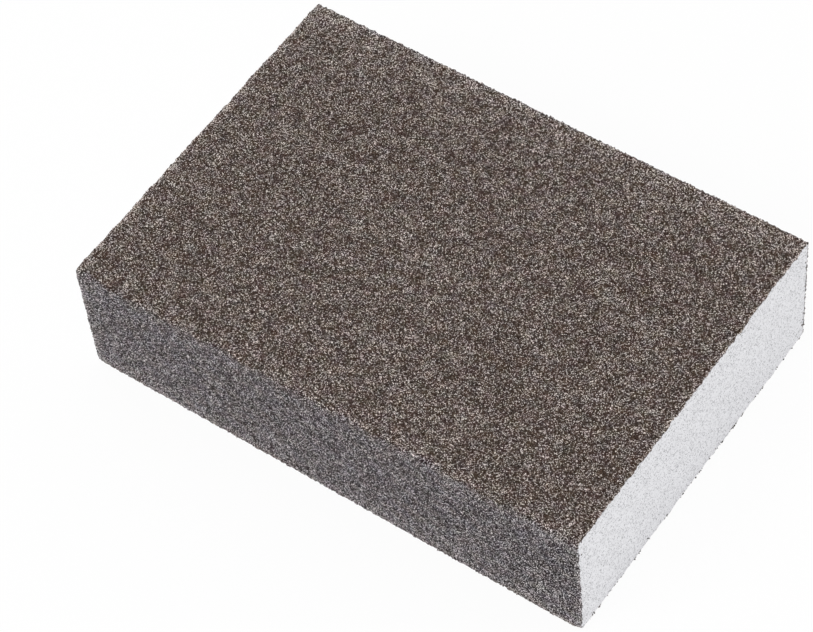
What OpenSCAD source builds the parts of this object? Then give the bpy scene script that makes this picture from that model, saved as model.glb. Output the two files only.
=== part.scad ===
// Sanding sponge: a rectangular foam block with an abrasive coat wrapped round
// its two broad faces and its two long sides. The two short ends are bare foam.
// X runs along the block, Y across it and Z up. The origin lies on the surface
// that the block rests on, under its middle.

/* [Block] */
// Length of the block, between its two bare ends
block_len = 100; // [40:1:200]
// Width of the block, over the coat of its long sides
block_w = 69.5; // [20:0.5:140]
// Height of the block, over the coat of its broad faces
block_h = 26.2; // [10:0.2:60]

/* [Abrasive coat] */
// Thickness of the coat, from the foam to the level of the grains
coat_t = 0.25; // [0.2:0.05:1.5]

/* [Long edges] */
// Radius of the foam's four long edges, under the coat
foam_edge_r = 0.2; // [0.1:0.1:3]

/* [Hidden] */

// Sides of a full circle, for the long edges
$fn = 64;
// The coat keeps its thickness round the long edges, so both radii share a centre
block_edge_r = foam_edge_r + coat_t;
foam_w = block_w - 2 * coat_t;
foam_h = block_h - 2 * coat_t;

// Rectangle about its own middle, with its four corners rounded
module rounded_rectangle(width, height, corner_r) {
    square([width - 2 * corner_r, height], center = true);
    square([width, height - 2 * corner_r], center = true);
    for (across = [-1, 1], up = [-1, 1])
        translate([across * (width / 2 - corner_r), up * (height / 2 - corner_r)])
            circle(r = corner_r);
}

// Draws an outline in Y and Z out along the block's whole length
module along_block() {
    translate([0, 0, block_h / 2])
        rotate([90, 0, 90])
            linear_extrude(height = block_len, center = true)
                children();
}

// Cross-section of the foam, which the coat fits without a gap
module foam_outline() {
    rounded_rectangle(foam_w, foam_h, foam_edge_r);
}

// Finely pored white foam, cut square at both ends
module foam_core() {
    color([0.86, 0.86, 0.87])
        along_block()
            foam_outline();
}

// One unbroken sleeve of grit, cut flush with the foam's ends
module grit_coat() {
    color([0.40, 0.37, 0.35])
        along_block()
            difference() {
                rounded_rectangle(block_w, block_h, block_edge_r);
                foam_outline();
            }
}

foam_core();
grit_coat();
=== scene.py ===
"""Sanding sponge: a white foam block in a sleeve of abrasive grit, on a pale table.

All lengths are in metres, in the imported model's frame: X runs along the block, Y across it, Z up.
"""
import itertools
import math
from collections import namedtuple

import bmesh
import bpy
import numpy as np
from mathutils import Matrix, Vector


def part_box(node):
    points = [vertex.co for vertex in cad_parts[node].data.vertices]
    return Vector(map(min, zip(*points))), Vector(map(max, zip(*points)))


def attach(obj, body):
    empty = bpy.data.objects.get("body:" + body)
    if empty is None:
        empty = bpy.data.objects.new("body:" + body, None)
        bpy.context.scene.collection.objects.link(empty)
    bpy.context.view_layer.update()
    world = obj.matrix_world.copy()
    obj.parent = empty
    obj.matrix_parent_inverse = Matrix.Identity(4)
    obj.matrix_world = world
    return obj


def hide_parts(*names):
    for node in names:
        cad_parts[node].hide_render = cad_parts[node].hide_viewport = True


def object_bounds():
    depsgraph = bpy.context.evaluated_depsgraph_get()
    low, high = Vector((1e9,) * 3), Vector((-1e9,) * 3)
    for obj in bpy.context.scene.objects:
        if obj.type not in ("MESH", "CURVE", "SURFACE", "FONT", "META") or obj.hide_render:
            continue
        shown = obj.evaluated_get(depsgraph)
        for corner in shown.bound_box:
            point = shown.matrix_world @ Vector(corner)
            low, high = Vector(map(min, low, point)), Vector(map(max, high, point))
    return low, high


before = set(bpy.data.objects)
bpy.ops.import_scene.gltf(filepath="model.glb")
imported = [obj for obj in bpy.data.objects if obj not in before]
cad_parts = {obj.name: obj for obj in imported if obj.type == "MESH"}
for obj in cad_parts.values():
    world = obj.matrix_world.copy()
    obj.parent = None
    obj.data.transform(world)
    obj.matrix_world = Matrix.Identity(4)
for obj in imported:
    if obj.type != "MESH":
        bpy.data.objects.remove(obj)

bl_info = {
    "name": "Sanding Sponge",
    "version": (1, 0, 0),
    "blender": (4, 5, 0),
    "location": "View3D > Sidebar > Sponge",
    "description": "Builds a foam sanding block with an abrasive coat on its four long sides",
    "category": "Add Mesh",
}

MM = 0.001
CAD_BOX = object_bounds()

COAT_LOW, COAT_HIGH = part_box("grit_coat")
FOAM_LOW, FOAM_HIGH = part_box("foam_core")
BLOCK_SIZE = COAT_HIGH - COAT_LOW
MIDDLE = (COAT_LOW + COAT_HIGH) / 2
COAT_THICKNESS = COAT_HIGH.z - FOAM_HIGH.z


def swatch(red, green, blue):
    """A colour given as 0 to 255 on a screen, as the linear numbers that a shader takes."""
    screen = np.array((red, green, blue)) / 255
    return tuple(np.where(screen <= 0.04045, screen / 12.92, ((screen + 0.055) / 1.055) ** 2.4))


# ---------------------------------------------------------------- settings


class GritSettings(bpy.types.PropertyGroup):
    """The abrasive coat, its grains and its colours"""

    pitch: bpy.props.FloatProperty(
        name="Grain Pitch",
        description="Mean distance from one grain to the next",
        default=0.272 * MM,
        min=0.2 * MM,
        max=2 * MM,
        unit="LENGTH",
    )
    grain_size: bpy.props.FloatProperty(
        name="Grain Size",
        description="Size of the single grains in the coat's colour",
        default=0.125 * MM,
        min=0.05 * MM,
        max=1 * MM,
        unit="LENGTH",
    )
    relief: bpy.props.FloatProperty(
        name="Relief",
        description="Spread of the grains' heights about the coat's level",
        default=0.042 * MM,
        min=0.0,
        max=0.2 * MM,
        unit="LENGTH",
    )
    scatter: bpy.props.FloatProperty(
        name="Scatter",
        description="How far a grain strays from an even row, as a share of the pitch",
        default=0.36,
        min=0.0,
        max=0.48,
        subtype="FACTOR",
    )
    foam_edge_radius: bpy.props.FloatProperty(
        name="Foam Edge Radius",
        description="Radius of the foam's long edges, under the coat",
        default=0.2 * MM,
        min=0.1 * MM,
        max=3 * MM,
        unit="LENGTH",
    )
    end_raggedness: bpy.props.FloatProperty(
        name="Ragged Ends",
        description="How far the coat's cut edge wanders from a straight line",
        default=0.085 * MM,
        min=0.0,
        max=0.3 * MM,
        unit="LENGTH",
    )
    corner_wear: bpy.props.FloatProperty(
        name="Corner Wear",
        description="How far the block's corners are blunted",
        default=0.08 * MM,
        min=0.0,
        max=1 * MM,
        unit="LENGTH",
    )
    loose_grains: bpy.props.IntProperty(
        name="Loose Grains",
        description="Number of loose grains by the cut edges of each end",
        default=260,
        min=0,
        max=2000,
    )
    broad_resin: bpy.props.FloatVectorProperty(
        name="Resin, Broad Faces",
        description="Colour of the dark resin between the grains on the broad faces",
        default=swatch(24, 11, 4),
        subtype="COLOR",
        min=0.0,
        max=1.0,
    )
    broad_grain: bpy.props.FloatVectorProperty(
        name="Grain, Broad Faces",
        description="Colour of most grains on the broad faces",
        default=swatch(84, 69, 61),
        subtype="COLOR",
        min=0.0,
        max=1.0,
    )
    # The palest grains are pale crystals and also painted glints, the sparkle of light off their facets.
    broad_crystal_and_glint: bpy.props.FloatVectorProperty(
        name="Crystal, Broad Faces",
        description="Colour of the palest, clearest grains on the broad faces",
        default=swatch(243, 232, 226),
        subtype="COLOR",
        min=0.0,
        max=1.0,
    )
    # The long sides' colours are a cooler copy of the broad faces' ones: painted shade for how the light
    # falls on the sides.
    side_shade_resin: bpy.props.FloatVectorProperty(
        name="Resin, Long Sides",
        description="Colour of the dark resin between the grains on the long sides",
        default=swatch(12, 5, 7),
        subtype="COLOR",
        min=0.0,
        max=1.0,
    )
    side_shade_grain: bpy.props.FloatVectorProperty(
        name="Grain, Long Sides",
        description="Colour of most grains on the long sides",
        default=swatch(58, 49, 51),
        subtype="COLOR",
        min=0.0,
        max=1.0,
    )
    # On the long sides too, the palest grains are pale crystals with painted glints.
    side_shade_crystal_and_glint: bpy.props.FloatVectorProperty(
        name="Crystal, Long Sides",
        description="Colour of the palest, clearest grains on the long sides",
        default=swatch(252, 245, 247),
        subtype="COLOR",
        min=0.0,
        max=1.0,
    )
    seed: bpy.props.IntProperty(
        name="Seed",
        description="Start of the random draws for the coat",
        default=7,
        min=0,
    )


class FoamSettings(bpy.types.PropertyGroup):
    """The foam block and its bare ends"""

    pitch: bpy.props.FloatProperty(
        name="Pore Pitch",
        description="Mean distance from one pore to the next on the cut ends",
        default=0.22 * MM,
        min=0.15 * MM,
        max=2 * MM,
        unit="LENGTH",
    )
    pore_depth: bpy.props.FloatProperty(
        name="Pore Depth",
        description="Depth of the deeper open pores",
        default=0.05 * MM,
        min=0.0,
        max=0.5 * MM,
        unit="LENGTH",
    )
    lip: bpy.props.FloatProperty(
        name="Torn Lip",
        description="How far torn foam can reach over the coat's cut edge",
        default=0.23 * MM,
        min=0.0,
        max=0.3 * MM,
        unit="LENGTH",
    )
    colour: bpy.props.FloatVectorProperty(
        name="Foam",
        description="Colour of the foam's skin between pores",
        default=swatch(243, 243, 246),
        subtype="COLOR",
        min=0.0,
        max=1.0,
    )
    # Inside the pores the white foam is painted grey: painted shade in the hollows.
    pore_shade_colour: bpy.props.FloatVectorProperty(
        name="Pore",
        description="Colour inside the open pores",
        default=swatch(140, 140, 143),
        subtype="COLOR",
        min=0.0,
        max=1.0,
    )
    firmness: bpy.props.FloatProperty(
        name="Firmness",
        description="How fully the foam holds its shape, from slack to tight",
        default=1.0,
        min=0.0,
        max=1.0,
        subtype="FACTOR",
    )
    seed: bpy.props.IntProperty(
        name="Seed",
        description="Start of the random draws for the foam",
        default=11,
        min=0,
    )


class StageSettings(bpy.types.PropertyGroup):
    """Camera, lamps and table"""

    azimuth: bpy.props.FloatProperty(
        name="Azimuth",
        description="Turn of the camera about the block, from its long side towards its right end",
        default=math.radians(40.74),
        subtype="ANGLE",
    )
    elevation: bpy.props.FloatProperty(
        name="Elevation",
        description="Height of the camera above the table, as an angle",
        default=math.radians(53.99),
        subtype="ANGLE",
    )
    roll: bpy.props.FloatProperty(
        name="Roll",
        description="Turn of the camera about its own line of sight",
        default=math.radians(-7.02),
        subtype="ANGLE",
    )
    distance: bpy.props.FloatProperty(
        name="Distance",
        description="Distance from the camera to the point it looks at",
        default=514.7 * MM,
        min=0.1,
        unit="LENGTH",
    )
    aim: bpy.props.FloatVectorProperty(
        name="Aim",
        description="Point that the camera looks at",
        default=(-3.83 * MM, -5.63 * MM, 13 * MM),
        subtype="TRANSLATION",
        unit="LENGTH",
    )
    lens: bpy.props.FloatProperty(
        name="Lens",
        description="Focal length on a 36 mm sensor, in millimetres",
        default=135.0,
        min=20.0,
        max=300.0,
    )
    surround: bpy.props.FloatProperty(
        name="Surround",
        description="Level of the even light from all round",
        default=0.90,
        min=0.0,
        max=1.0,
    )
    softbox_power: bpy.props.FloatProperty(
        name="Softbox Power",
        description="Power of the lamp above the block's long side",
        default=2.6,
        min=0.0,
        max=50.0,
    )
    table_glow: bpy.props.FloatProperty(
        name="Table Whiteness",
        description="Share of the table's white that shadows don't darken, as the camera sees it",
        default=0.93,
        min=0.0,
        max=1.0,
        subtype="FACTOR",
    )


class SpongeSettings(bpy.types.PropertyGroup):
    """All that a user can change on the sanding sponge"""

    grit: bpy.props.PointerProperty(type=GritSettings)
    foam: bpy.props.PointerProperty(type=FoamSettings)
    stage: bpy.props.PointerProperty(type=StageSettings)


# ---------------------------------------------------------------- shared helpers


def blurred(draws, reach):
    """Random draws on a grid, blurred over a number of cells and brought back to a spread of 1."""
    rows = np.fft.fftfreq(draws.shape[0])[:, None]
    columns = np.fft.rfftfreq(draws.shape[1])[None]
    kept = np.exp(-2 * (math.pi * reach) ** 2 * (rows**2 + columns**2))
    soft = np.fft.irfft2(np.fft.rfft2(draws) * kept, s=draws.shape)
    return (soft - soft.mean()) / soft.std()


def blurred_line(values, reach):
    """A closed line of values, with its steps softened over a number of places."""
    kept = np.exp(-2 * (math.pi * reach * np.fft.rfftfreq(len(values))) ** 2)
    return np.fft.irfft(np.fft.rfft(values) * kept, n=len(values))


def vertex_places(mesh):
    """The places of a mesh's vertices, one row each."""
    places = np.empty(len(mesh.vertices) * 3)
    mesh.vertices.foreach_get("co", places)
    return places.reshape(-1, 3)


def finished_mesh(bm, name, smooth):
    """A bmesh closed into a mesh object in the scene, with its faces outward."""
    bmesh.ops.recalc_face_normals(bm, faces=bm.faces)
    for face in bm.faces:
        face.smooth = smooth
    mesh = bpy.data.meshes.new(name)
    bm.to_mesh(mesh)
    bm.free()
    piece = bpy.data.objects.new(name, mesh)
    bpy.context.scene.collection.objects.link(piece)
    return piece


def lay_map(mesh, corner_places):
    """Gives the mesh its texture map, one place for each face corner."""
    layer = mesh.uv_layers.new(name="OFBake", do_init=False)
    layer.uv.foreach_set("vector", corner_places.astype(np.float32).ravel())


def corner_facts(mesh):
    """For each face corner, its vertex and its face."""
    vertex = np.empty(len(mesh.loops), np.int32)
    mesh.loops.foreach_get("vertex_index", vertex)
    sizes = np.empty(len(mesh.polygons), np.int32)
    mesh.polygons.foreach_get("loop_total", sizes)
    return vertex, np.repeat(np.arange(len(sizes)), sizes)


# ---------------------------------------------------------------- materials


def new_material(name):
    """A material, its node tree and its main shader."""
    material = bpy.data.materials.new(name)
    material.use_nodes = True
    tree = material.node_tree
    return material, tree, tree.nodes["Principled BSDF"]


def node(tree, kind, label, **values):
    """A labelled node, with its settings given by name."""
    made = tree.nodes.new(kind)
    made.label = label
    for key, value in values.items():
        setattr(made, key, value)
    return made


def ramp(tree, label, source, stops):
    """A colour ramp fed by source, with stops of (place, colour)."""
    made = node(tree, "ShaderNodeValToRGB", label)
    elements = made.color_ramp.elements
    while len(elements) < len(stops):
        elements.new(0.5)
    for element, (place, colour) in zip(elements, stops):
        element.position = place
        element.color = (*colour, 1)
    tree.links.new(source, made.inputs["Fac"])
    return made.outputs["Color"]


def math_node(tree, operation, label, *terms):
    """A sum on numbers or on other nodes' outputs."""
    made = node(tree, "ShaderNodeMath", label, operation=operation)
    for socket, term in zip(made.inputs, terms):
        if isinstance(term, (int, float)):
            socket.default_value = term
        else:
            tree.links.new(term, socket)
    return made.outputs["Value"]


def grit_material(grit):
    """Angular grains in dark resin, warm on the broad faces. On the long sides a cooler copy of the
    colours, with darker resin and grains, is painted shade for how the light falls there.
    """
    material, tree, shader = new_material("grit")
    place = node(tree, "ShaderNodeTexCoord", "place on the block").outputs["Object"]
    flatter = node(tree, "ShaderNodeVectorMath", "grains lie flatter on the sides", operation="MULTIPLY")
    flatter.inputs[1].default_value = (1, 1, 1.15)
    tree.links.new(place, flatter.inputs[0])

    grains = node(tree, "ShaderNodeTexVoronoi", "single grains", feature="F1")
    grains.inputs["Scale"].default_value = 1 / grit.grain_size
    tree.links.new(flatter.outputs["Vector"], grains.inputs["Vector"])
    grain_draws = node(tree, "ShaderNodeSeparateColor", "draws for each grain")
    tree.links.new(grains.outputs["Color"], grain_draws.inputs["Color"])

    patches = node(tree, "ShaderNodeTexNoise", "patches of hue and tone")
    patches.inputs["Scale"].default_value = 1 / (2.2 * MM)
    patches.inputs["Detail"].default_value = 2.0
    tree.links.new(place, patches.inputs["Vector"])
    patch_draws = node(tree, "ShaderNodeSeparateColor", "draws for each patch")
    tree.links.new(patches.outputs["Color"], patch_draws.inputs["Color"])

    height = node(tree, "ShaderNodeAttribute", "height and paleness", attribute_name="height_and_paleness")
    # Lower grains are darker: partly the dark resin they sit in, partly painted shade between the grains.
    # The painted paleness carried in the same attribute lightens them.
    lift = math_node(tree, "MULTIPLY_ADD", "by height", height.outputs["Fac"], 0.15, -0.15)
    lift = math_node(tree, "MULTIPLY_ADD", "and by patch", patch_draws.outputs["Green"], 0.16, lift)
    tone = math_node(tree, "ADD", "tone", grain_draws.outputs["Red"], lift)
    # The top stop of each ramp, the palest grains, is partly a painted glint.
    warm = zip((0.08, 0.78, 0.99), (grit.broad_resin, grit.broad_grain, grit.broad_crystal_and_glint))
    # The long sides take a cooler copy of the ramp, which is painted shade for how the light falls on them.
    side_shade_stops = zip((0.14, 0.785, 0.957), (grit.side_shade_resin, grit.side_shade_grain, grit.side_shade_crystal_and_glint))
    side_shade = node(tree, "ShaderNodeAttribute", "side_shade", attribute_name="side_shade")
    colour = node(tree, "ShaderNodeMix", "broad or side shade", data_type="RGBA")
    tree.links.new(side_shade.outputs["Fac"], colour.inputs["Factor"])
    tree.links.new(ramp(tree, "warm, resin to crystal", tone, list(warm)), colour.inputs["A"])
    tree.links.new(ramp(tree, "side shade, resin to crystal", tone, list(side_shade_stops)), colour.inputs["B"])

    hue = node(tree, "ShaderNodeVectorMath", "hue, more or less", operation="MULTIPLY_ADD")
    hue.inputs[1].default_value = (0.07, 0.015, 0.08)
    hue.inputs[2].default_value = (-0.035, -0.0075, -0.04)
    tree.links.new(patches.outputs["Color"], hue.inputs[0])
    even_steps = node(tree, "ShaderNodeGamma", "to steps even to the eye")
    even_steps.inputs["Gamma"].default_value = 1 / 2.2
    tree.links.new(colour.outputs["Result"], even_steps.inputs["Color"])
    tinted = node(tree, "ShaderNodeVectorMath", "tinted grains", operation="ADD")
    tree.links.new(even_steps.outputs["Color"], tinted.inputs[0])
    tree.links.new(hue.outputs["Vector"], tinted.inputs[1])
    linear = node(tree, "ShaderNodeGamma", "back to light")
    linear.inputs["Gamma"].default_value = 2.2
    tree.links.new(tinted.outputs["Vector"], linear.inputs["Color"])
    tree.links.new(linear.outputs["Color"], shader.inputs["Base Color"])

    gloss = node(tree, "ShaderNodeMapRange", "gloss of each grain")
    gloss.inputs["To Min"].default_value = 0.32
    gloss.inputs["To Max"].default_value = 0.85
    tree.links.new(grain_draws.outputs["Green"], gloss.inputs["Value"])
    tree.links.new(gloss.outputs["Result"], shader.inputs["Roughness"])
    shader.inputs["Specular IOR Level"].default_value = 0.12

    bump = node(tree, "ShaderNodeBump", "facet relief")
    bump.inputs["Strength"].default_value = 0.8
    bump.inputs["Distance"].default_value = 0.05 * MM
    tree.links.new(grains.outputs["Distance"], bump.inputs["Height"])
    tree.links.new(bump.outputs["Normal"], shader.inputs["Normal"])
    return material


def foam_material(foam):
    """White foam: a pale skin with open pores, few of them deep, and painted shade inside the pores,
    darkest in the deep ones.
    """
    material, tree, shader = new_material("white_foam")
    place = node(tree, "ShaderNodeTexCoord", "place on the block").outputs["Object"]
    cells = node(tree, "ShaderNodeTexVoronoi", "single pores", feature="F1")
    cells.inputs["Scale"].default_value = 1 / (0.17 * MM)
    tree.links.new(place, cells.inputs["Vector"])
    cell_draws = node(tree, "ShaderNodeSeparateColor", "draws for each pore")
    tree.links.new(cells.outputs["Color"], cell_draws.inputs["Color"])
    hollow = math_node(tree, "POWER", "few are deep", cell_draws.outputs["Red"], 6.0)
    depth = node(tree, "ShaderNodeAttribute", "pore depth", attribute_name="pore_depth")
    deep = math_node(tree, "MULTIPLY", "deep", depth.outputs["Fac"], 0.15)
    openness = math_node(tree, "ADD", "openness", hollow, deep)
    # The pores are painted darker, the deep ones most: painted shade in the hollows.
    colour = ramp(
        tree,
        "skin to shaded pore",
        openness,
        [(0.0, Vector(foam.colour)), (1.0, Vector(foam.pore_shade_colour))],
    )
    tree.links.new(colour, shader.inputs["Base Color"])
    shader.inputs["Roughness"].default_value = 0.9
    shader.inputs["Specular IOR Level"].default_value = 0.2
    bump = node(tree, "ShaderNodeBump", "pore relief", invert=True)
    bump.inputs["Strength"].default_value = 0.25
    bump.inputs["Distance"].default_value = 0.06 * MM
    tree.links.new(openness, bump.inputs["Height"])
    tree.links.new(bump.outputs["Normal"], shader.inputs["Normal"])
    return material


def plain_white_share(tree):
    """1 where the camera, a mirror or glass looks, and 0 for the light that falls on the block."""
    looks = node(tree, "ShaderNodeLightPath", "who looks").outputs
    seen = math_node(tree, "MAXIMUM", "or mirror", looks["Is Camera Ray"], looks["Is Glossy Ray"])
    return math_node(tree, "MAXIMUM", "or glass", seen, looks["Is Transmission Ray"])


def table_material(glow):
    """White, with the block's shadow. The camera sees part of the white whatever the shadow."""
    material, tree, shader = new_material("white_table")
    shader.inputs["Base Color"].default_value = (0.93, 0.93, 0.93, 1)
    shader.inputs["Roughness"].default_value = 0.95
    shader.inputs["Specular IOR Level"].default_value = 0.0
    emission = node(tree, "ShaderNodeEmission", "plain white")
    share = math_node(tree, "MULTIPLY", "share of plain white", plain_white_share(tree), glow)
    mix = node(tree, "ShaderNodeMixShader", "table")
    tree.links.new(share, mix.inputs["Fac"])
    tree.links.new(shader.outputs["BSDF"], mix.inputs[1])
    tree.links.new(emission.outputs["Emission"], mix.inputs[2])
    output = tree.nodes["Material Output"]
    tree.links.new(mix.outputs["Shader"], output.inputs["Surface"])
    return material


# ---------------------------------------------------------------- the coat

# The four coated faces in their order round the block. Each has the direction in
# (Y, Z) that runs across it, the one that points out of it, how far its cut edge
# stands back from the foam's end at the left and the right end, and its share of
# the loose grains.
CoatedFace = namedtuple("CoatedFace", "name kind across out set_back loose_share")
COATED_FACES = (
    CoatedFace("grit_top", "broad", (1, 0), (0, 1), (-0.04 * MM, -0.01 * MM), 0.15),
    CoatedFace("grit_back", "side", (0, -1), (1, 0), (0.03 * MM, 0.0), 0.4),
    CoatedFace("grit_underside", "broad", (-1, 0), (0, -1), (0.16 * MM, 0.26 * MM), 0.5),
    CoatedFace("grit_front", "side", (0, 1), (-1, 0), (0.08 * MM, -0.1 * MM), 0.1),
)

# One coated face's share of the net of grains. half_flat and half_path are half of its
# width, flat and along its section to the middle of each rounded edge. level is how far
# it lies from the block's middle.
Span = namedtuple("Span", "face half_flat level half_path start columns")

# A grain's height is drawn about 0 and kept between these, as multiples of the relief.
LOWEST_GRAIN, HIGHEST_GRAIN = -2.2, 2.8

# The corner that has been knocked most is the right end's front one, at the bottom.
MOST_WORN = (1, -1, -1)
MOST_WORN_TIMES = 3.5

# How far a corner's wear reaches, and how far round the most worn corner the coat is painted paler.
WEAR_REACH = 0.9 * MM
PALE_REACH = 4.5 * MM


def face_sizes(kind, radius):
    """Half of a coated face's flat width, and how far that face lies from the block's middle."""
    width, reach = BLOCK_SIZE.y, BLOCK_SIZE.z
    if kind == "side":
        width, reach = reach, width
    return width / 2 - radius, reach / 2


def face_spans(grit):
    """The coated faces' shares of the net of grains, one after the other round the block."""
    radius = grit.foam_edge_radius + COAT_THICKNESS
    spans = []
    start = 0
    for face in COATED_FACES:
        half_flat, level = face_sizes(face.kind, radius)
        half_path = half_flat + radius * math.pi / 4
        columns = round(2 * half_path / grit.pitch)
        spans.append(Span(face, half_flat, level, half_path, start, columns))
        start += columns
    return spans


def path_point(path, span, radius):
    """The place across and out of a face, and its normal's lean, at a distance along its section."""
    past_flat = np.maximum(np.abs(path) - span.half_flat, 0)
    lean = past_flat / radius
    side = np.sign(path)
    across = np.where(past_flat > 0, side * (span.half_flat + radius * np.sin(lean)), path)
    out = span.level - radius + radius * np.cos(lean)
    return across, out, side * np.sin(lean), np.cos(lean)


def closeness(places, corner, reach):
    """1 at one of the block's corners, falling to nothing about two reaches away."""
    corner_place = np.array(MIDDLE) + np.array(BLOCK_SIZE) / 2 * corner
    gap = np.linalg.norm(places - corner_place, axis=-1, keepdims=True)
    return np.exp(-((gap / reach) ** 2))


def worn(places, wear):
    """Blunts the block's corners: points near a corner draw in towards the block's middle."""
    for corner in itertools.product((-1, 1), repeat=3):
        amount = MOST_WORN_TIMES * wear if corner == MOST_WORN else wear
        places = places - amount * closeness(places, corner, WEAR_REACH) * corner
    return places


def cut_edge(grit, spans, draw, end):
    """How far the coat reaches from the block's middle at one end, at each column round the block."""
    set_back = np.concatenate([np.full(span.columns, span.face.set_back[end]) for span in spans])
    set_back = blurred_line(set_back, 2)
    jags = draw.normal(0, 1, len(set_back))
    waves = blurred(draw.normal(0, 1, (1, len(set_back))), 1.5)[0]
    return BLOCK_SIZE.x / 2 - set_back + grit.end_raggedness * (0.7 * jags + 0.8 * waves)


def sleeve(grit, spans):
    """The coat's grains, as a net of points whose rows go round the whole block.

    Gives each point's place, its grain's height, raised where the coat is painted paler (a painted
    highlight along two long edges, paler bands by the other two, the cut ends and the most worn corner),
    and its painted side shade, from 0 on a broad face to 1 on a long side.
    """
    draw = np.random.default_rng(grit.seed)
    radius = grit.foam_edge_radius + COAT_THICKNESS
    rows = round(BLOCK_SIZE.x / grit.pitch)
    shape = (rows + 1, sum(span.columns for span in spans))
    strays = grit.scatter * grit.pitch
    along = np.linspace(-0.5, 0.5, rows + 1)[:, None] * BLOCK_SIZE.x
    along = along + draw.uniform(-strays, strays, shape)
    sideways = draw.uniform(-strays, strays, shape)
    height = draw.normal(0, 1, shape) + 1.3 * (draw.random(shape) > 0.95)
    height = np.clip(height, LOWEST_GRAIN, HIGHEST_GRAIN)
    along[0] = -cut_edge(grit, spans, draw, 0)
    along[-1] = cut_edge(grit, spans, draw, 1)

    # Painted paler near both cut ends, over a wider band at the left end.
    from_end = (BLOCK_SIZE.x / 2 - np.abs(along)).clip(0)
    paleness = 0.7 * np.exp(-from_end / (0.3 * MM))
    paleness += 0.4 * np.exp(-from_end / (1.2 * MM)) * (along < 0)
    lines = [blurred(draw.normal(0, 1, (1, rows + 1)), 5)[0] for edge in spans]
    wobble = 0.3 * MM * np.stack(lines)[:, :, None]
    side_shade = np.empty(shape)
    net = np.empty((*shape, 3))
    net[..., 0] = along
    for number, span in enumerate(spans):
        face = span.face
        here = slice(span.start, span.start + span.columns)
        path = np.linspace(-span.half_path, span.half_path, span.columns + 1)[:-1]
        path = path + sideways[:, here]
        from_edge = span.half_path - np.abs(path)
        into_side = from_edge if face.kind == "side" else -from_edge
        into_side = into_side + np.where(path > 0, wobble[number], wobble[number - 1])
        blend = (1 if face.kind == "side" else 0.3) * MM
        away = 1 - np.exp(-np.abs(into_side) / blend)
        # Painted side shade: 0 on a broad face, 1 on a long side, blended across the rounded edges.
        side_shade[:, here] = 0.5 + 0.5 * np.sign(into_side) * away
        # The front bottom edge and the back top one are painted paler over a wide band. The other two are
        # painted paler over a narrow one,
        # most towards the right end: a painted highlight along those edges.
        wide_band = 0.5 * np.exp(-from_edge / (3 * MM))
        narrow_band = 0.12 + 0.36 * (2 * along[:, here] / BLOCK_SIZE.x).clip(0, 1)
        narrow_band = narrow_band * np.exp(-from_edge / (1.5 * MM))
        by_wide_band = (path < 0) == (face.kind == "side")
        paleness[:, here] += np.where(by_wide_band, wide_band, narrow_band)
        across, out, lean_across, lean_out = path_point(path, span, radius)
        rise = grit.relief * height[:, here] * (1 + 2 * np.abs(lean_across))
        across = across + rise * lean_across
        out = out + rise * lean_out
        for axis in (0, 1):
            net[:, here, 1 + axis] = across * face.across[axis] + out * face.out[axis]
    net[..., 1] += MIDDLE.y
    net[..., 2] += MIDDLE.z
    # Painted paler round the most worn corner.
    paleness += 1.6 * closeness(net, MOST_WORN, WEAR_REACH)[..., 0]
    paleness += 0.5 * closeness(net, MOST_WORN, PALE_REACH)[..., 0]
    return {
        "place": worn(net, grit.corner_wear),
        "height_and_paleness": (height - LOWEST_GRAIN) / (HIGHEST_GRAIN - LOWEST_GRAIN) + paleness,
        "side_shade": side_shade,
    }


def under_coat(point, radius):
    """The nearest place on the foam's long surface, straight under a point of the coat."""
    half_y = (FOAM_HIGH.y - FOAM_LOW.y) / 2 - radius
    half_z = (FOAM_HIGH.z - FOAM_LOW.z) / 2 - radius
    y, z = point.y - MIDDLE.y, point.z - MIDDLE.z
    core_y = max(-half_y, min(half_y, y))
    core_z = max(-half_z, min(half_z, z))
    out = Vector((y - core_y, z - core_z)).normalized() * radius
    return Vector((point.x, MIDDLE.y + core_y + out.x, MIDDLE.z + core_z + out.y))


def coat_panel(span, points, grit, material):
    """One face of the coat: the grains outside, a cut rim at each end and a plain face against the foam."""
    columns = span.columns
    rows = points["place"].shape[0] - 1
    picked = np.arange(span.start, span.start + columns + 1) % points["place"].shape[1]
    picked = {fact: values[:, picked] for fact, values in points.items()}

    bm = bmesh.new()
    bmesh.ops.create_grid(bm, x_segments=rows, y_segments=columns, size=1)
    level_layer = bm.verts.layers.float.new("height_and_paleness")
    side_shade_layer = bm.verts.layers.float.new("side_shade")
    path_layer = bm.verts.layers.float.new("path")
    for vertex in bm.verts:
        row = round((vertex.co.x + 1) / 2 * rows)
        column = round((vertex.co.y + 1) / 2 * columns)
        vertex.co = picked["place"][row, column]
        vertex[level_layer] = picked["height_and_paleness"][row, column]
        vertex[side_shade_layer] = picked["side_shade"][row, column]
        vertex[path_layer] = column / columns
    grains = len(bm.faces)
    outer = len(bm.verts)
    border = [edge for edge in bm.edges if edge.is_boundary]
    rim = bmesh.ops.extrude_edge_only(bm, edges=border)["geom"]
    for vertex in rim:
        if isinstance(vertex, bmesh.types.BMVert):
            vertex.co = under_coat(vertex.co, grit.foam_edge_radius)
            vertex[level_layer] = 0.6
    inner_border = [item for item in rim if isinstance(item, bmesh.types.BMEdge) and item.is_boundary]
    bmesh.ops.triangle_fill(bm, use_beauty=True, use_dissolve=False, edges=inner_border)
    piece = finished_mesh(bm, span.face.name, smooth=False)
    piece.data.materials.append(material)
    map_panel(piece.data, grains, outer)
    return piece


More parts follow.
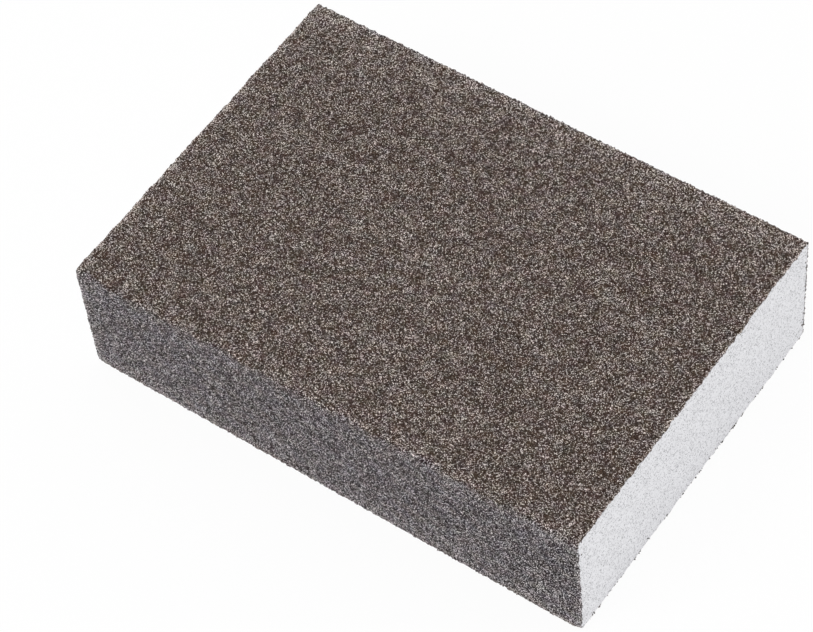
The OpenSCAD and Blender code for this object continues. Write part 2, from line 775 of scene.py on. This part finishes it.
def map_panel(mesh, grains, outer):
    """Lays the grains over most of the map, the rims in a strip above and the hidden face in another."""
    vertex, face = corner_facts(mesh)
    x = (vertex_places(mesh)[:, 0] - COAT_LOW.x) / BLOCK_SIZE.x
    path = np.empty(len(mesh.vertices), np.float32)
    mesh.attributes["path"].data.foreach_get("value", path)
    inner = np.arange(len(mesh.vertices)) >= outer
    touches_outer = np.zeros(len(mesh.polygons), bool)
    np.logical_or.at(touches_outer, face, ~inner[vertex])
    on_grains = face < grains
    on_rim = ~on_grains & touches_outer[face]
    along, over = x[vertex].clip(0, 1), path[vertex]
    u = np.where(on_rim, over, along)
    strip = np.where(on_rim, 0.92 + 0.03 * inner[vertex], 0.97 + 0.03 * over)
    v = np.where(on_grains, 0.9 * over, strip)
    lay_map(mesh, np.stack([u, v], 1))
    mesh.attributes.remove(mesh.attributes["path"])


def loose_grains(grit, material):
    """Loose grains by the cut edges of both ends, most of them along the underside and the back."""
    draw = np.random.default_rng(grit.seed + 1)
    radius = grit.foam_edge_radius + COAT_THICKNESS
    bm = bmesh.new()
    for sign, face in itertools.product((-1, 1), COATED_FACES):
        half_flat, level = face_sizes(face.kind, radius)
        x = sign * (BLOCK_SIZE.x / 2 - 0.04 * MM)
        for cluster in range(round(grit.loose_grains * face.loose_share / 2)):
            middle = draw.uniform(-half_flat, half_flat)
            for grain in range(draw.integers(1, 4)):
                size = min(0.04 + draw.exponential(0.05), 0.17) * MM
                t = middle + draw.normal(0, 0.2) * MM
                n = level - draw.exponential(0.25) * MM - 0.05 * MM
                y, z = (t * face.across[axis] + n * face.out[axis] for axis in (0, 1))
                place = Matrix.Translation(MIDDLE + Vector((x, y, z)))
                made = bmesh.ops.create_icosphere(bm, subdivisions=1, radius=size, matrix=place)
                for vertex in made["verts"]:
                    vertex.co += Vector(draw.uniform(-0.35, 0.35, 3)) * size
    piece = finished_mesh(bm, "loose_grains", smooth=False)
    piece.data.materials.append(material)
    return piece


# ---------------------------------------------------------------- the foam


def pore_draws(shape, seed):
    """Pore depths over one cut end, 0 at the skin and about 1 in a deep pore."""
    draw = np.random.default_rng(seed)
    fine = draw.normal(0, 1, shape) + 0.7 * blurred(draw.normal(0, 1, shape), 1.0)
    return np.clip(fine - 0.4, 0, 3) / 2.2


def torn_lips(foam, draw, shape):
    """How far the foam reaches over the coat's cut edge: in tongues, least along the back."""
    share = 0.4 + 0.35 * blurred(draw.normal(0, 1, shape), 1.2)
    share += 0.25 * blurred(draw.normal(0, 1, shape), 5)
    back = -1
    share[back] -= 0.25
    by_corners = (0, 1, -2, -1)
    share[np.ix_(by_corners, by_corners)] = 0
    return share.clip(0, 1) * foam.lip


def foam_blank(bm, size, columns, levels):
    """A plain block with a fine grid on both ends, whose points know their column and level."""
    bmesh.ops.create_grid(bm, x_segments=columns, y_segments=levels, size=1)
    column_layer = bm.verts.layers.int.new("column")
    level_layer = bm.verts.layers.int.new("level")
    for vertex in bm.verts:
        vertex[column_layer] = round((vertex.co.x + 1) / 2 * columns)
        vertex[level_layer] = round((vertex.co.y + 1) / 2 * levels)
        vertex.co = (FOAM_LOW.x, vertex.co.x * size.y / 2, MIDDLE.z + vertex.co.y * size.z / 2)
    far = bmesh.ops.extrude_face_region(bm, geom=list(bm.faces), use_keep_orig=True)["geom"]
    far = [item for item in far if isinstance(item, bmesh.types.BMVert)]
    bmesh.ops.translate(bm, verts=far, vec=(size.x, 0, 0))
    seam = 0.8 * MM
    for x in (FOAM_LOW.x + seam, FOAM_HIGH.x - seam):
        everything = list(bm.verts) + list(bm.edges) + list(bm.faces)
        bmesh.ops.bisect_plane(
            bm, geom=everything, dist=1e-7, plane_co=(x, 0, 0), plane_no=(1, 0, 0)
        )
    return column_layer, level_layer


def foam_block(foam, grit, material):
    """The foam, closed all round, with its pores and torn lips on both cut ends."""
    size = FOAM_HIGH - FOAM_LOW
    columns, levels = round(size.y / foam.pitch), round(size.z / foam.pitch)
    bm = bmesh.new()
    column_layer, level_layer = foam_blank(bm, size, columns, levels)

    shape = (columns + 1, levels + 1)
    pores = {-1: pore_draws(shape, foam.seed), 1: pore_draws(shape, foam.seed + 1)}
    draw = np.random.default_rng(foam.seed + 2)
    strays = {sign: draw.uniform(-0.3, 0.3, (*shape, 2)) * foam.pitch for sign in pores}
    lips = {sign: torn_lips(foam, draw, shape) for sign in pores}
    depth_layer = bm.verts.layers.float.new("pore_depth")
    radius = grit.foam_edge_radius
    half_y, half_z = size.y / 2 - radius, size.z / 2 - radius
    for vertex in bm.verts:
        y, z = vertex.co.y, vertex.co.z - MIDDLE.z
        core = Vector((max(-half_y, min(half_y, y)), max(-half_z, min(half_z, z))))
        out = Vector((y, z)) - core
        if out.length > radius:
            out = out.normalized() * radius
        i, j = vertex[column_layer], vertex[level_layer]
        border = i in (0, columns) or j in (0, levels)
        if abs(abs(vertex.co.x) - size.x / 2) < 1e-6:
            sign = 1 if vertex.co.x > 0 else -1
            pore, lip = pores[sign][i, j], lips[sign][i, j]
            if border:
                pore = 0.3 * pore
                out = out.normalized() * (radius + lip)
            else:
                core = core + Vector(strays[sign][i, j])
            torn = 1.1 * (foam.lip - lip) if j == 0 else 0
            vertex[depth_layer] = pore
            vertex.co.x = sign * (size.x / 2 - foam.pore_depth * pore - torn)
        vertex.co.y = core.x + out.x
        vertex.co.z = MIDDLE.z + core.y + out.y
        if border:
            vertex.co = worn(np.array(vertex.co), grit.corner_wear)
    piece = finished_mesh(bm, "foam_block", smooth=True)
    piece.data.materials.append(material)
    map_foam(piece.data)
    for spare in ("column", "level"):
        piece.data.attributes.remove(piece.data.attributes[spare])
    return piece


def map_foam(mesh):
    """Lays the two cut ends one above the other, and the long surfaces in a strip above them."""
    vertex, face = corner_facts(mesh)
    places = vertex_places(mesh)
    normals = np.empty(len(mesh.polygons) * 3, np.float32)
    mesh.polygons.foreach_get("normal", normals)
    ahead = normals.reshape(-1, 3)[face, 0]
    size = FOAM_HIGH - FOAM_LOW
    x = (places[vertex, 0] - FOAM_LOW.x) / size.x
    y = (places[vertex, 1] - FOAM_LOW.y) / size.y
    z = (places[vertex, 2] - FOAM_LOW.z) / size.z
    on_end = np.abs(ahead) > 0.5
    u = np.where(on_end, 0.01 + 0.98 * y, x)
    v = np.where(on_end, 0.01 + 0.44 * z + np.where(ahead > 0, 0, 0.46), 0.94 + 0.05 * y)
    lay_map(mesh, np.stack([u.clip(0, 1), v.clip(0, 1)], 1))


# ---------------------------------------------------------------- operators


class SPONGE_OT_add_foam(bpy.types.Operator):
    """Add the foam block with its open pores"""

    bl_idname = "sponge.add_foam"
    bl_label = "Add Foam Block"

    def execute(self, context):
        settings = context.scene.sponge
        piece = foam_block(settings.foam, settings.grit, foam_material(settings.foam))
        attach(piece, "root")
        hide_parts("foam_core")
        return {"FINISHED"}


class SPONGE_OT_add_coat(bpy.types.Operator):
    """Add the abrasive coat, one panel for each coated face"""

    bl_idname = "sponge.add_coat"
    bl_label = "Add Abrasive Coat"

    def execute(self, context):
        grit = context.scene.sponge.grit
        material = grit_material(grit)
        spans = face_spans(grit)
        points = sleeve(grit, spans)
        for span in spans:
            piece = coat_panel(span, points, grit, material)
            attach(piece, "root")
            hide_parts("grit_coat")
        return {"FINISHED"}


class SPONGE_OT_add_loose_grains(bpy.types.Operator):
    """Add the loose grains by the cut edges"""

    bl_idname = "sponge.add_loose_grains"
    bl_label = "Add Loose Grains"

    def execute(self, context):
        grit = context.scene.sponge.grit
        piece = loose_grains(grit, bpy.data.materials["grit"])
        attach(piece, "root")
        return {"FINISHED"}


class SPONGE_OT_set_stage(bpy.types.Operator):
    """Set the camera, the lamps, the surround and the white table"""

    bl_idname = "sponge.set_stage"
    bl_label = "Set Stage"

    def execute(self, context):
        stage = context.scene.sponge.stage
        context.scene.view_settings.view_transform = "Standard"
        set_camera(context, stage)
        set_surround(context, stage)
        add_softbox(context, stage)
        add_table(context, stage)
        return {"FINISHED"}


def set_camera(context, stage):
    """The camera, on a long lens."""
    lens = bpy.data.cameras.new("camera")
    lens.lens = stage.lens
    lens.sensor_width = 36
    lens.clip_start = 0.01
    camera = bpy.data.objects.new("camera", lens)
    camera.matrix_world = (
        Matrix.Translation(stage.aim)
        @ Matrix.Rotation(stage.azimuth, 4, "Z")
        @ Matrix.Rotation(math.pi / 2 - stage.elevation, 4, "X")
        @ Matrix.Translation((0, 0, stage.distance))
        @ Matrix.Rotation(stage.roll, 4, "Z")
    )
    context.scene.collection.objects.link(camera)
    context.scene.camera = camera


def set_surround(context, stage):
    """An even grey light, which the camera sees as white."""
    world = bpy.data.worlds.new("surround")
    world.use_nodes = True
    tree = world.node_tree
    background = tree.nodes["Background"]
    strength = node(tree, "ShaderNodeMapRange", "light level")
    strength.inputs["To Min"].default_value = stage.surround
    strength.inputs["To Max"].default_value = 1.0
    tree.links.new(plain_white_share(tree), strength.inputs["Value"])
    tree.links.new(strength.outputs["Result"], background.inputs["Strength"])
    background.inputs["Color"].default_value = (1, 1, 1, 1)
    context.scene.world = world


def add_softbox(context, stage):
    """A broad lamp above and to the left of the block's front."""
    lamp = bpy.data.lights.new("softbox", "AREA")
    lamp.shape = "RECTANGLE"
    lamp.size, lamp.size_y = 0.5, 0.35
    lamp.energy = stage.softbox_power
    softbox = bpy.data.objects.new("softbox", lamp)
    place = Vector((-0.35, -0.75, 0.85))
    turn = (place - MIDDLE).to_track_quat("Z", "Y").to_matrix().to_4x4()
    softbox.matrix_world = Matrix.Translation(place) @ turn
    context.scene.collection.objects.link(softbox)


def add_table(context, stage):
    """The table top, a wide disc that the block stands on."""
    bm = bmesh.new()
    bmesh.ops.create_circle(bm, cap_ends=True, radius=3.0, segments=96)
    table = finished_mesh(bm, "table", smooth=False)
    table.data.transform(Matrix.Translation((0, 0, CAD_BOX[0][2])))
    table.data.materials.append(table_material(stage.table_glow))


OPERATORS = (SPONGE_OT_add_foam, SPONGE_OT_add_coat, SPONGE_OT_add_loose_grains, SPONGE_OT_set_stage)


class SPONGE_PT_panel(bpy.types.Panel):
    """The sanding sponge's pieces and their settings"""

    bl_idname = "SPONGE_PT_panel"
    bl_label = "Sanding Sponge"
    bl_space_type = "VIEW_3D"
    bl_region_type = "UI"
    bl_category = "Sponge"

    def draw(self, context):
        settings = context.scene.sponge
        for group in (settings.grit, settings.foam, settings.stage):
            box = self.layout.box()
            for name in group.__annotations__:
                box.prop(group, name)
        for operator in OPERATORS:
            self.layout.operator(operator.bl_idname)


CLASSES = (GritSettings, FoamSettings, StageSettings, SpongeSettings, *OPERATORS, SPONGE_PT_panel)


def register():
    for cls in CLASSES:
        bpy.utils.register_class(cls)
    bpy.types.Scene.sponge = bpy.props.PointerProperty(type=SpongeSettings)


def unregister():
    del bpy.types.Scene.sponge
    for cls in reversed(CLASSES):
        bpy.utils.unregister_class(cls)


def main():
    """Builds the sponge and its stage."""
    register()
    bpy.ops.sponge.add_foam()
    bpy.ops.sponge.add_coat()
    bpy.ops.sponge.add_loose_grains()
    bpy.ops.sponge.set_stage()


if __name__ == "__main__":
    main()
